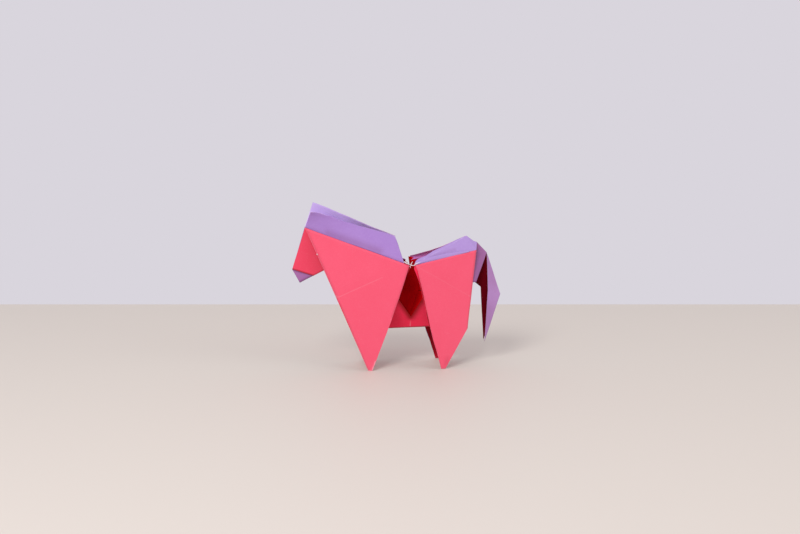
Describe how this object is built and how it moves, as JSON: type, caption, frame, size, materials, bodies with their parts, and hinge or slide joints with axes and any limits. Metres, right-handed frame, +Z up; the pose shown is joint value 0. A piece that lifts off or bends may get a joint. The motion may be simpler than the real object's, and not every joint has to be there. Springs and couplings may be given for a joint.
{
  "type": "origami horse",
  "caption": "Standing horse folded from one two-colour paper square, with flat triangular legs, folded head, mane strip and pointed tail.",
  "frame": {"origin": "centre of the bounding box in plan, on the ground under the four feet", "axes": "+X from the head towards the tail, +Y towards the far side, +Z up"},
  "size_m": [0.1407, 0.0302, 0.1113],
  "materials": {
    "folded_sheet": "two-colour origami paper, pink outside and purple inside"
  },
  "bodies": {
    "root": {"folded_sheet": "folded_sheet"}
  },
  "joints": []
}
